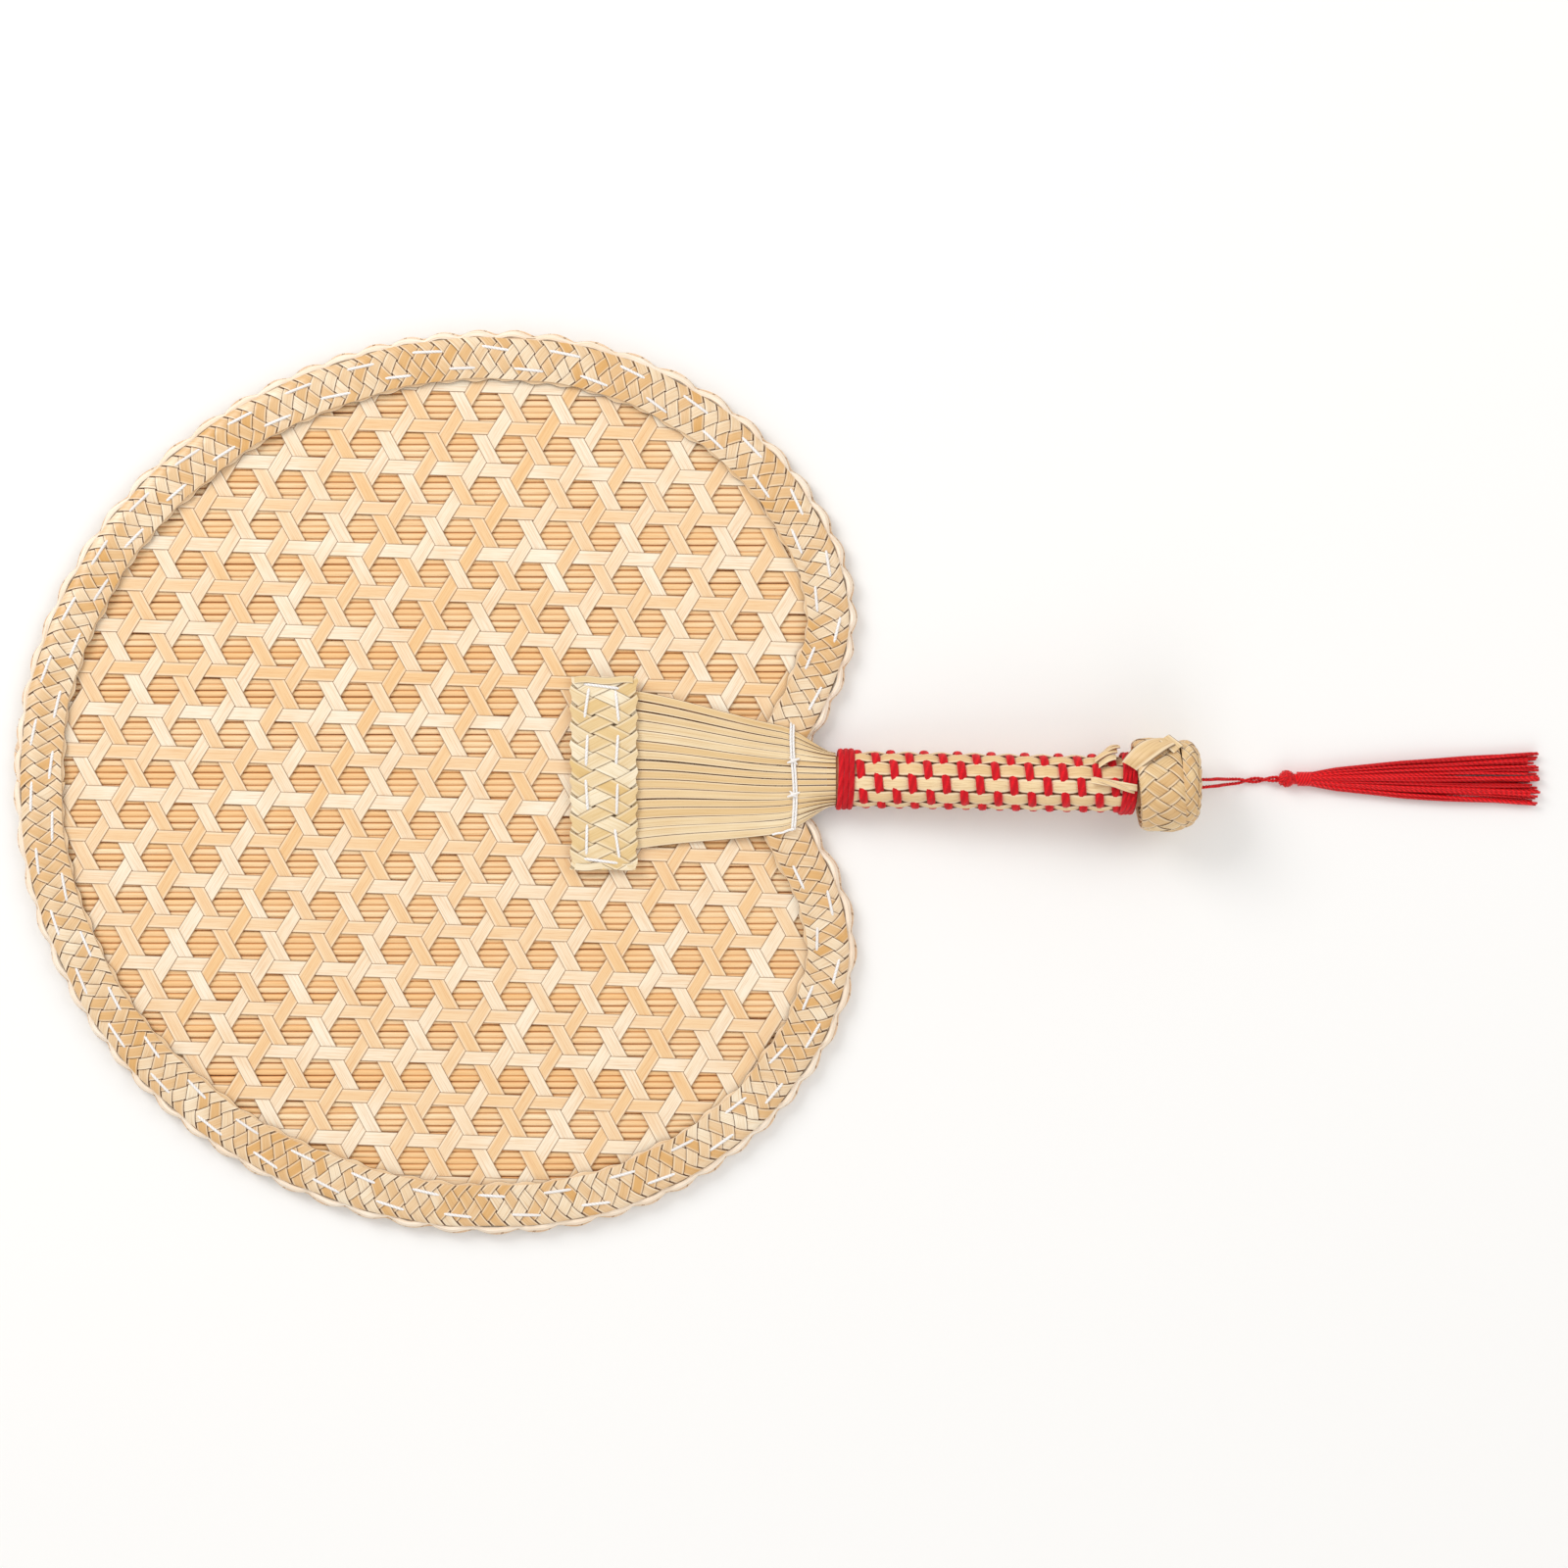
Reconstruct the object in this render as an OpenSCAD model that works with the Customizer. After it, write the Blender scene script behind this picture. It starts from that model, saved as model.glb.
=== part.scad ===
// Hand fan woven from wheat straw, with a braided rim, a handle woven in red
// yarn, a braided knob and a red tassel on a cord.
// It lies face up: blade towards -X, knob and tassel towards +X, face to +Z.

/* [Blade] */
// Radius of the blade at its far end
blade_r = 134.9; // [130:0.1:140]
// How far the two shoulders beside the handle stand out
shoulder_bulge = 14.9; // [8:0.1:18]
// Depth of the notch that the handle comes out of
notch_depth = 26.4; // [20:0.1:30]
// Length from the blade's far end to the end of the knob
overall_l = 372.4; // [368:0.1:380]
// Width of the braid sewn round the rim
rim_w = 13.2; // [10:0.1:16]
// Thickness of each rim braid
rim_t = 1.2; // [0.8:0.1:1.4]

/* [Straw core] */
// Distance between neighbouring straws
straw_pitch = 2.0; // [1.9:0.05:2.6]
// Diameter of one straw
straw_d = 1.7; // [1.4:0.05:1.7]

/* [Open weave] */
// Distance between neighbouring strips of one direction
strip_pitch = 13.3; // [12:0.1:15]
// Width of one strip
strip_w = 4.5; // [3:0.1:5]
// Thickness of one strip
strip_t = 0.25; // [0.2:0.01:0.25]
// Turn of the whole weave in the blade
weave_turn = -2; // [-5:0.5:5]

/* [Stalks and root braid] */
// Number of stalks that run from the blade to the handle
stalk_count = 16; // [12:1:16]
// Thickness of one stalk
stalk_t = 0.35; // [0.3:0.01:0.4]
// Length of the braid sewn over the stalks' ends
root_l = 61; // [56:1:64]
// Width of the root braid
root_w = 20.8; // [18:0.2:22]

/* [Handle] */
// Half width of the woven handle
handle_a = 9.4; // [9:0.1:9.8]
// Half height of the handle where the neck is flat
neck_b = 5.6; // [5:0.1:6.5]
// Number of straw warps round the handle
warp_count = 11; // [9:2:11]
// Advance of the yarn for each turn
weft_pitch = 5.25; // [4.5:0.05:6]

/* [Knob] */
// Radius of the braided knob
knob_r = 15.8; // [14:0.1:15.8]
// Length of the knob's band
knob_l = 16.6; // [14:0.1:16.6]
// Radius of the coil that closes the knob
coil_r = 11.9; // [9:0.1:12.4]
// Radius of the hole that the cord comes out of
cord_hole_r = 3.2; // [3.2:0.1:4]

/* [Cord and tassel] */
// Diameter of the red cord
cord_d = 1; // [0.9:0.05:1.1]
// Diameter of the tassel's head
head_d = 6; // [5.6:0.1:6]
// Length of the tassel's skirt
skirt_l = 72; // [60:1:80]
// Width of the skirt at its free end
skirt_w = 19; // [14:0.5:24]

/* [Hidden] */
$fn = 48;

// Gap kept between separate pieces that lie on each other
gap = 0.2;
layer = strip_t + 0.15;

// Levels through the blade, from the table up
back_weave_z = rim_t + gap;
core_z = back_weave_z + 2*layer + strip_t + gap;
front_weave_z = core_z + straw_d + gap;
front_rim_z = front_weave_z + 2*layer + strip_t + gap;
blade_top = front_rim_z + rim_t;

// Insets of the braids and of the straw ends from the blade's edge
back_inset = 0.4;
front_inset = 1.6;
core_inset = 7;
weave_inset = 3.5;

// Outline of the blade: a circle with two shoulders and a notch
blade_x = blade_r - overall_l/2 - back_inset;
shoulder_angle = 50;
shoulder_spread = 45;
notch_spread = 16;
outline_step = 3;
function blade_radius(a) = blade_r
    + shoulder_bulge*exp(-pow((abs(a) - shoulder_angle)/shoulder_spread, 2))
    - notch_depth*exp(-pow(a/notch_spread, 2));
function rim_point(a, inset) = let (r = blade_radius(a) - inset) [blade_x + r*cos(a), r*sin(a)];
function outline(inset) = [for (a = [-180:outline_step:179]) rim_point(a, inset)];

// The angle from the tip (from = 180) or from the handle (from = 0) at which
// the outline stands at a distance y from the middle line
function edge_angle(y, from, lo, hi, n) = let (m = (lo + hi)/2)
    n == 0 ? m :
    (blade_radius(from - m) - core_inset)*sin(m) < y ? edge_angle(y, from, m, hi, n - 1)
                                                     : edge_angle(y, from, lo, m, n - 1);
function edge_x(y, from) = let (a = edge_angle(abs(y), from, 0, from == 0 ? 82 : 94, 16))
    rim_point(from - a, core_inset)[0];
core_half = 134;

module straw_core() {
    color("#F0C27A")
        for (y = [-core_half : straw_pitch : core_half])
            translate([edge_x(y, 180), y, core_z + straw_d/2]) rotate([0, 90, 0])
                cylinder(d = straw_d, h = edge_x(y, 0) - edge_x(y, 180));
}

// One direction of the weave: parallel strips cut off under the rim braid
module strips(angle, offset, z) {
    reach = 160;
    translate([0, 0, z]) linear_extrude(strip_t) intersection() {
        polygon(outline(weave_inset));
        translate([blade_x, 0]) rotate(angle + weave_turn)
            for (k = [-11:11])
                translate([-reach, k*strip_pitch + offset - strip_w/2]) square([2*reach, strip_w]);
    }
}

// Where the strips of each direction lie. The lengthwise ones pass midway
// between the crossings of the other two, which leaves six-sided openings.
rising_offset = 3.7;
falling_offset = -4.2;
lengthwise_offset = rising_offset + falling_offset + strip_pitch/2;

module weave_front_lengthwise() { color("#F7E6C5") strips(0, lengthwise_offset, front_weave_z + layer); }
module weave_front_rising() { color("#F5CFA0") strips(60, rising_offset, front_weave_z + 2*layer); }
module weave_front_falling() { color("#F3D9AE") strips(-60, falling_offset, front_weave_z); }
module weave_back_lengthwise() { color("#F7E6C5") strips(0, lengthwise_offset, back_weave_z + layer); }
module weave_back_rising() { color("#F5CFA0") strips(60, rising_offset, back_weave_z); }
module weave_back_falling() { color("#F3D9AE") strips(-60, falling_offset, back_weave_z + 2*layer); }

// Running stitches in two rows along the rim braid
thread_d = 0.5;
stitch_l = 9.5;
stitch_step = 9;
stitch_rows = [0.27, 0.75];
groove_d = 0.8;
function stitch_angles(row) = [for (k = [0:39]) let (a = -178 + row*4.5 + k*stitch_step) if (abs(a) > 8) a];

// Puts its child at each stitch, lying along the rim with X along the thread
module at_stitches(z) {
    for (row = [0, 1], a = stitch_angles(row)) {
        inset = front_inset + stitch_rows[row]*rim_w;
        p = rim_point(a, inset);
        q = rim_point(a + 1, inset);
        translate([p[0], p[1], z]) rotate(atan2(q[1] - p[1], q[0] - p[0])) children();
    }
}

module stitch() {
    translate([-stitch_l/2, 0, 0]) rotate([0, 90, 0]) cylinder(d = thread_d, h = stitch_l, $fn = 8);
}

module rim_ring(inset, z) {
    translate([0, 0, z]) linear_extrude(rim_t) difference() {
        polygon(outline(inset));
        polygon(outline(front_inset + rim_w));
    }
}

// The thread sinks into grooves between the strands of the braid
module groove(depth) {
    translate([-stitch_l/2 - 0.4, -groove_d/2, -depth]) cube([stitch_l + 0.8, groove_d, 2*depth]);
}

module rim_braid_front() {
    color("#E9BE80") difference() {
        rim_ring(front_inset, front_rim_z);
        at_stitches(blade_top) groove(0.4);
    }
}

module rim_braid_back() {
    color("#F2DDB8") difference() {
        rim_ring(back_inset, 0);
        at_stitches(0) groove(0.7);
    }
}

module rim_stitches_front() { color("white") at_stitches(blade_top + 0.05) stitch(); }
module rim_stitches_back() { color("white") at_stitches(thread_d/2 + 0.02) stitch(); }

// A closed bar through a list of sections, each a list of the same number of
// corners that run anticlockwise seen against the direction of travel
module loft(sections) {
    n = len(sections[0]);
    m = len(sections);
    sides = [for (s = [0:m - 2], i = [0:n - 1]) let (a = s*n + i, b = s*n + (i + 1) % n)
        each [[a, a + n, b + n], [a, b + n, b]]];
    ends = [[for (i = [0:n - 1]) i], [for (i = [n - 1:-1:0]) (m - 1)*n + i]];
    polyhedron(points = [for (s = sections) each s], faces = concat(sides, ends), convexity = 4);
}

function unit(v) = v/norm(v);
function smooth(t) = let (c = min(1, max(0, t))) c*c*(3 - 2*c);
function mix(a, b, t) = a + (b - a)*t;

// Section of a flat strip at p that runs along d, with its face towards n
function strip_section(p, d, n, w, t) = let (u = unit(d), s = unit(cross(n, u)), f = cross(u, s))
    [p + s*w/2 + f*t/2, p - s*w/2 + f*t/2, p - s*w/2 - f*t/2, p + s*w/2 - f*t/2];

// Section of a round cord at p that runs along d, never along the direction side
function round_section(p, d, side, r, sides) = let (u = unit(d), s = unit(cross(side, u)), f = cross(u, s))
    [for (i = [0:sides - 1]) p + r*(s*cos(i*360/sides) + f*sin(i*360/sides))];

// A round cord through points
module cord(pts, r, sides, side = [0, 0, 1]) {
    last = len(pts) - 1;
    loft([for (i = [0:last])
        round_section(pts[i], pts[min(i + 1, last)] - pts[max(i - 1, 0)], side, r, sides)]);
}

// The handle's middle line and its half height at a place x along it
neck_x = 74;
rear_x = 162.6;
knob_x = 166.6;
handle_y = 0.9;
round_x = 106;
neck_z = 7;
knob_z = 15.9;
function axis_y(x) = mix(handle_y, -0.5, smooth((x - neck_x)/(knob_x - neck_x)));
function axis_z(x) = mix(neck_z, knob_z, smooth((x - neck_x + 26)/(knob_x - neck_x + 26)*0.96));
function half_height(x) = mix(neck_b, handle_a, smooth((x - neck_x)/(round_x - neck_x)));
// Point on the handle at x, at an angle round it, with an offset from its surface
function on_handle(x, phi, off) =
    [x, axis_y(x) + (handle_a + off)*cos(phi), axis_z(x) + (half_height(x) + off)*sin(phi)];
function handle_section(x, off, sides) = [for (i = [0:sides - 1]) on_handle(x, i*360/sides, off)];

// Stalk k at a share t of its way from the root braid to the neck
stalk_x0 = -4;
patch_x = 10.4;
patch_y = 3;
notch_x = 59.4;
function stalk_share(k) = (k + 0.5)/stalk_count - 0.5;
function spread_y(x, s) = patch_y*smooth((notch_x - x)/50) + handle_y
    + s*(x < notch_x ? mix(50, 33, smooth((x - patch_x)/(notch_x - patch_x))) : 33);
stalk_arc = 205;
function stalk_point(k, x) = let (
    s = stalk_share(k),
    t = smooth((x - notch_x + 2)/(neck_x - notch_x + 1)),
    over_rim = mix(front_rim_z + stalk_t, blade_top + gap + stalk_t/2, smooth((x - 34)/10)),
    arc = on_handle(neck_x, 90 - s*stalk_arc, -1.3))
    [x, mix(spread_y(x, s), arc[1], t), mix(over_rim, arc[2], t)];
function stalk_normal(k, x) = let (a = 90 - stalk_share(k)*stalk_arc*smooth((x - notch_x + 2)/(neck_x - notch_x + 1)))
    [0, cos(a), sin(a)];
// Width of stalk k: its share of the fan, less some room
function stalk_width(k, x) =
    norm(stalk_point(k + 0.5, x) - stalk_point(k - 0.5, x)) - mix(gap, 2*gap, smooth((x - notch_x)/10));
stalk_stations = [stalk_x0, 12, 24, 34, 44, 52, 57, 60, 63, 66, 69, 72.8];

module stalks() {
    color("#E8D5A8") for (k = [0:stalk_count - 1])
        loft([for (i = [0:len(stalk_stations) - 1]) let (x = stalk_stations[i])
            strip_section(stalk_point(k, x), stalk_point(k, x + 0.5) - stalk_point(k, x - 0.5),
                stalk_normal(k, x), stalk_width(k, x), stalk_t)]);
}

// Flat braid sewn over the inner ends of the stalks
root_z = front_rim_z + 1.5*stalk_t + gap + 0.1;
root_t = 1;
root_y = 2.8;

module root_braid() {
    color("#F0C890") difference() {
        translate([-root_w/2, root_y - root_l/2, root_z]) linear_extrude(root_t)
            polygon([[0, 1.5], [1.5, 0], [root_w - 1.5, 0], [root_w, 1.5],
                     [root_w, root_l - 1.5], [root_w - 1.5, root_l], [1.5, root_l], [0, root_l - 1.5]]);
        at_root_stitches() groove(0.35);
    }
}

// Two columns of stitches, and one across each end of the braid
module at_root_stitches() {
    for (x = [-5.4, 4.2], k = [-1.5:1.5])
        translate([x, root_y + k*14.4, root_z + root_t]) rotate(90) children();
    for (side = [-1, 1])
        translate([-0.5, root_y + side*27.6, root_z + root_t]) rotate(0) children();
}

module root_stitches() { color("white") translate([0, 0, 0.05]) at_root_stitches() scale(0.9) stitch(); }

// Two turns of white thread across the stalks at the notch
thread_clear = 0.75;
module stalk_thread() {
    color("white") for (x = [59.6, 61])
        cord([for (s = [-0.53:0.106:0.531]) stalk_point((s + 0.5)*stalk_count - 0.5, x)
              + [0, 0, thread_clear]], 0.3, 6);
}

// Bundle of straws inside the handle
core_off = -2.1;
core_start = 70.5;
core_end = 181;
core_stations = [core_start, 74, 82, 90, 98, 106, 120, 136, 150, 166, core_end];
module handle_core() {
    color("#DDBB80") loft([for (x = core_stations) handle_section(x, core_off, 20)]);
}

// Straw warps along the handle
warp_in = -1.95;
warp_out = -1.4;
warp_x0 = neck_x + 4.6;
warp_x1 = rear_x - 0.4;
module handle_warps() {
    steps = 8;
    color("#E6C98E") for (k = [0:warp_count - 1]) {
        phi = 90 + (k + 0.5)*360/warp_count;
        mid = (warp_in + warp_out)/2;
        half = 160/warp_count;
        loft([for (i = [0:steps]) let (x = mix(warp_x0, warp_x1, i/steps))
            strip_section(on_handle(x, phi, mid), on_handle(x + 1, phi, mid) - on_handle(x - 1, phi, mid),
                [0, cos(phi)/(handle_a + mid), sin(phi)/(half_height(x) + mid)],
                norm(on_handle(x, phi + half, warp_in) - on_handle(x, phi - half, warp_in)) - gap,
                warp_out - warp_in)]);
    }
}

// One red yarn wound round the handle from wrap to wrap
yarn_r = 0.45;
yarn_x0 = neck_x + 6;
yarn_turns = 15.5;
yarn_steps = 18;
module handle_yarn() {
    color("#D3122B") cord([for (i = [0:yarn_turns*yarn_steps]) let (x = yarn_x0 + i*weft_pitch/yarn_steps)
        on_handle(x, 90 + i*360/yarn_steps, -0.5)], yarn_r, 5, [1, 0, 0]);
}

// A tight red wrap round the bundle, rounded at its edges
module wrap(x0, x1) {
    c = 0.5;
    outer = [for (p = [[x0, 0], [x0 + c, 0.5], [x1 - c, 0.5], [x1, 0]]) handle_section(p[0], p[1], 24)];
    difference() {
        loft(outer);
        loft([for (x = [x0 - 1, x1 + 1]) handle_section(x, core_off + gap, 24)]);
    }
}
module front_wrap() { color("#C8102A") wrap(neck_x, neck_x + 4); }
module rear_wrap() { color("#C8102A") wrap(rear_x, rear_x + 3.4); }

// A loose straw end that lies across the rear wrap
module loose_straw() {
    stations = [156, 159, 162, 165.6];
    color("#E9CE97") loft([for (x = stations)
        strip_section(on_handle(x, 93, 1.1), [1, -0.05, 0.05], [0, 0, 1], 1.8, stalk_t)]);
}

knob_swing = 6;

// Places its children on the knob's own axis
module on_knob(x) {
    translate([x, axis_y(knob_x), knob_z]) children();
}

// Braid wound round the end of the handle
knob_hole = handle_a + core_off + 2;
module knob_band() {
    e = 2.5;
    color("#E6C48A") on_knob(knob_x + knob_l/2) rotate([0, 0, knob_swing/2]) rotate([0, 90, 0])
        rotate_extrude() polygon([
            [knob_hole, -knob_l/2 + 0.6], [knob_r - e, -knob_l/2 + 0.6], [knob_r, -knob_l/2 + 0.6 + e],
            [knob_r, knob_l/2 - 1.8 - e], [knob_r - e, knob_l/2 - 1.8], [knob_hole, knob_l/2 - 1.8]]);
}

// Coil of braid that closes the knob, with the cord's hole in its middle
coil_t = 3.6;
coil_x = overall_l/2 - coil_t;
module knob_coil() {
    color("#EBCB94") on_knob(coil_x) rotate([0, 90, 0]) difference() {
        cylinder(r = coil_r, h = coil_t);
        translate([0, 0, -1]) cylinder(r = cord_hole_r, h = coil_t + 2);
    }
}

// Knot that keeps the cord's two ends in the knob
module cord_knot() {
    color("#C8102A") on_knob(coil_x + 0.9) sphere(r = 2.1);
}

// Route of the cord's two strands from the knob's mouth down to the table and
// along it to the tassel: x, height, and half the distance between the strands
cord_route = [
    [186.8, 15.9, 1.2], [188.6, 15.6, 1.2], [190.6, 14.5, 1.1], [192.2, 12.7, 1.1], [193.5, 10.4, 1.1],
    [194.7, 8, 1], [196, 5.6, 0.9], [197.8, 3.6, 0.8], [200, 2.3, 0.7], [202.4, 1.5, 0.6],
    [205, 1.1, 0.6], [207.6, 1.1, 0.6], [210, 1.6, 0.6], [212, 2.4, 0.6]
];
cord_y0 = -0.5;
cord_y1 = 1;
function strand(side) = [for (p = cord_route) let (t = (p[0] - 186.8)/26)
    [p[0], mix(cord_y0, cord_y1, t) + side*p[2], p[1]]];

module cord_upper() { color("#E01515") cord(strand(1), cord_d/2, 8); }
module cord_lower() { color("#E01515") cord(strand(-1), cord_d/2, 8); }

// Tassel: a knotted head, a binding below it and a skirt of threads
head_x = 216.2;
binding_x = head_x + head_d/2 + 0.3;
binding_l = 5;
skirt_x = binding_x + binding_l + 0.2;

module tassel_head() { color("#E01515") translate([head_x, cord_y1, head_d/2]) sphere(d = head_d); }

module tassel_binding() {
    color("#C8102A") translate([binding_x, cord_y1, 2.5]) rotate([0, 90, 0]) difference() {
        cylinder(d = 4.6, h = binding_l);
        translate([0, 0, -1]) cylinder(d = 3, h = binding_l + 2);
    }
}

// The skirt's threads start inside the binding and spread as they lie flat
function skirt_section(x, w, h) = [for (i = [0:15]) let (a = i*22.5)
    [x, cord_y1 + w/2*cos(a), 0.05 + h/2 + h/2*sin(a)]];
module tassel_skirt() {
    end_x = skirt_x + skirt_l;
    color("#E01515") union() {
        loft([skirt_section(skirt_x, 5, 5), skirt_section(skirt_x + 8, 8, 5.2),
              skirt_section(skirt_x + 30, 13, 4.6), skirt_section(end_x, skirt_w, 4)]);
        translate([binding_x, cord_y1, 2.5]) rotate([0, 90, 0]) cylinder(d = 2.6, h = binding_l + 1);
    }
}

straw_core();
weave_front_lengthwise();
weave_front_rising();
weave_front_falling();
weave_back_lengthwise();
weave_back_rising();
weave_back_falling();
rim_braid_front();
rim_braid_back();
rim_stitches_front();
rim_stitches_back();
stalks();
root_braid();
root_stitches();
stalk_thread();
handle_core();
handle_warps();
handle_yarn();
front_wrap();
rear_wrap();
loose_straw();
knob_band();
knob_coil();
cord_knot();
cord_upper();
cord_lower();
tassel_head();
tassel_binding();
tassel_skirt();
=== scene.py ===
import math
import random

import bmesh
import bpy
import numpy as np
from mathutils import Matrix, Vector


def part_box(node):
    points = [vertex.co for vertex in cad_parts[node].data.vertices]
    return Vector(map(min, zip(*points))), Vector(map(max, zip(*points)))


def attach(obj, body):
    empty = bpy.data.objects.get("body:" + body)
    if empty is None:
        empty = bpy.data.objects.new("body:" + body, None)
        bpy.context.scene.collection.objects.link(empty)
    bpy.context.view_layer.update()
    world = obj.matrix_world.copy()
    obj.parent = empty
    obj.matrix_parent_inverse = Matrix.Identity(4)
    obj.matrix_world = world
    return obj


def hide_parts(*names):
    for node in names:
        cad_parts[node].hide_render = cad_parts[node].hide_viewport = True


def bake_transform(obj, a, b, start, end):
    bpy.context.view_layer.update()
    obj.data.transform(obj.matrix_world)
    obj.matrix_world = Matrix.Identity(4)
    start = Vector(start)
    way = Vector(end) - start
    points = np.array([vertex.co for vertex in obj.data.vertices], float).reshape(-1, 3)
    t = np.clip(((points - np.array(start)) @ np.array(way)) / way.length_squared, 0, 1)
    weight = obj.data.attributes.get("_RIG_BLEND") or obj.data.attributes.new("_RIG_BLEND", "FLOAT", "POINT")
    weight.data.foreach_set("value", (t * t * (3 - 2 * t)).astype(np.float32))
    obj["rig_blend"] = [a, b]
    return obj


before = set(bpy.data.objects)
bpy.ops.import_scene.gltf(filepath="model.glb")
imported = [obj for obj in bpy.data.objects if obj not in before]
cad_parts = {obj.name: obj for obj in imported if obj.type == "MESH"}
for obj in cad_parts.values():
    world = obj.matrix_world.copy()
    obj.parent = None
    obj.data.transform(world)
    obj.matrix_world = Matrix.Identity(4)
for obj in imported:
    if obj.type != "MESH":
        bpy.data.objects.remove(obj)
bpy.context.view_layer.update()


# Floor, light and camera.
# The fan lies on its back on a plain pale floor, under large soft lamps, and is seen from straight above.

mm = 0.001
fan_middle = Vector((56.9, -0.6, 0.0)) * mm


def link(tree, kind, inputs=None, **settings):
    """Adds a shader node, sets it up, and joins or fills its inputs."""
    made = tree.nodes.new(kind)
    for key, value in settings.items():
        setattr(made, key, value)
    for key, value in (inputs or {}).items():
        if isinstance(value, bpy.types.NodeSocket):
            tree.links.new(value, made.inputs[key])
        else:
            made.inputs[key].default_value = value
    return made


def blended(tree, share, one, other):
    """A colour between two, by a share that is a socket or a number."""
    made = link(tree, "ShaderNodeMix", {0: share, 6: one, 7: other}, data_type="RGBA")
    return made.outputs[2]


def new_material(name):
    """An empty material: its tree, its Principled shader and the material."""
    made = bpy.data.materials.new(name)
    made.use_nodes = True
    return made.node_tree, made.node_tree.nodes["Principled BSDF"], made


def dye(code):
    """A screen colour, written as six hex digits, as the renderer wants it."""
    parts = [int(code[i:i + 2], 16) / 255 for i in (0, 2, 4)]
    return (*[p / 12.92 if p < 0.04045 else ((p + 0.055) / 1.055) ** 2.4 for p in parts], 1.0)


def add_lamp(name, place, size, power):
    """A square lamp aimed at the fan's middle; its size is in metres."""
    lamp = bpy.data.objects.new(name, bpy.data.lights.new(name, "AREA"))
    lamp.data.size, lamp.data.energy = size, power
    lamp.location = place
    lamp.rotation_euler = (fan_middle - Vector(place)).to_track_quat("-Z", "Y").to_euler()
    lamp.visible_camera = False
    bpy.context.scene.collection.objects.link(lamp)


tree, shader, floor_paint = new_material("pale_floor")
shader.inputs["Base Color"].default_value = dye("F4F3F1")
shader.inputs["Roughness"].default_value = 0.8
floor_mesh = bpy.data.meshes.new("floor")
floor_form = bmesh.new()
bmesh.ops.create_grid(floor_form, x_segments=1, y_segments=1, size=12)
bmesh.ops.translate(floor_form, vec=(0, 0, -0.1 * mm), verts=floor_form.verts)
floor_form.to_mesh(floor_mesh)
floor_mesh.materials.append(floor_paint)
floor = bpy.data.objects.new("floor", floor_mesh)
bpy.context.scene.collection.objects.link(floor)

add_lamp("lamp_left", (-0.75, 0.75, 0.95), 0.7, 9.5)
add_lamp("lamp_right", (1.0, 0.35, 1.1), 0.9, 4.5)
add_lamp("lamp_near", (0.1, -1.15, 0.9), 1.0, 3.5)
world = bpy.data.worlds.new("studio")
world.use_nodes = True
world.node_tree.nodes["Background"].inputs["Color"].default_value = (1, 0.99, 0.98, 1)
world.node_tree.nodes["Background"].inputs["Strength"].default_value = 0.63
bpy.context.scene.world = world
bpy.context.scene.view_settings.view_transform = "Standard"

camera = bpy.data.objects.new("camera", bpy.data.cameras.new("camera"))
camera.data.lens = 85
camera.location = fan_middle + Vector((0, 0, 1.177))
bpy.context.scene.collection.objects.link(camera)
bpy.context.scene.camera = camera


# Cord: two strands of red silk, each laid from two plies, knotted inside the knob.
# They leave the hole in the knob's coil, drop to the floor, and are laid together before the tassel's head.

cord_d = 1.0 * mm
ply_pitch = 2.3 * mm
knob_y, knob_z = -0.5 * mm, 15.9 * mm
head = Vector((216.2, 1.0, 3.0)) * mm
# How far along, how high, and half the distance between the two strands.
cord_route = [
    (185.6, 15.9, 1.2), (186.8, 15.9, 1.2), (188.6, 15.6, 1.2), (190.6, 14.5, 1.1), (192.2, 12.7, 1.1),
    (193.5, 10.4, 1.1), (194.7, 8.0, 1.0), (196.0, 5.6, 0.9), (197.8, 3.6, 0.8), (200.0, 2.3, 0.7),
    (202.4, 1.5, 0.6), (205.0, 1.15, 0.55), (207.6, 1.15, 0.55), (210.0, 1.6, 0.55), (212.0, 2.4, 0.55),
    (213.6, 3.0, 0.5),
]


def new_form():
    """An empty bmesh that notes on each vertex how far along, across and round its strand it lies."""
    form = bmesh.new()
    for name in ("along", "across", "round", "tone"):
        form.verts.layers.float.new(name)
    return form


def smooth_route(points, step):
    """Points on one smooth curve through the given ones, about a step apart."""
    points = [Vector(p) for p in points]
    ends = [2 * points[0] - points[1], *points, 2 * points[-1] - points[-2]]
    made = []
    for a, b, c, d in zip(ends, ends[1:], ends[2:], ends[3:]):
        count = max(1, round((c - b).length / step))
        for i in range(count):
            t = i / count
            made.append(0.5 * (2 * b + (c - a) * t + (2 * a - 5 * b + 4 * c - d) * t * t
                               + (3 * b - a - 3 * c + d) * t ** 3))
    return [*made, points[-1]]


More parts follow.
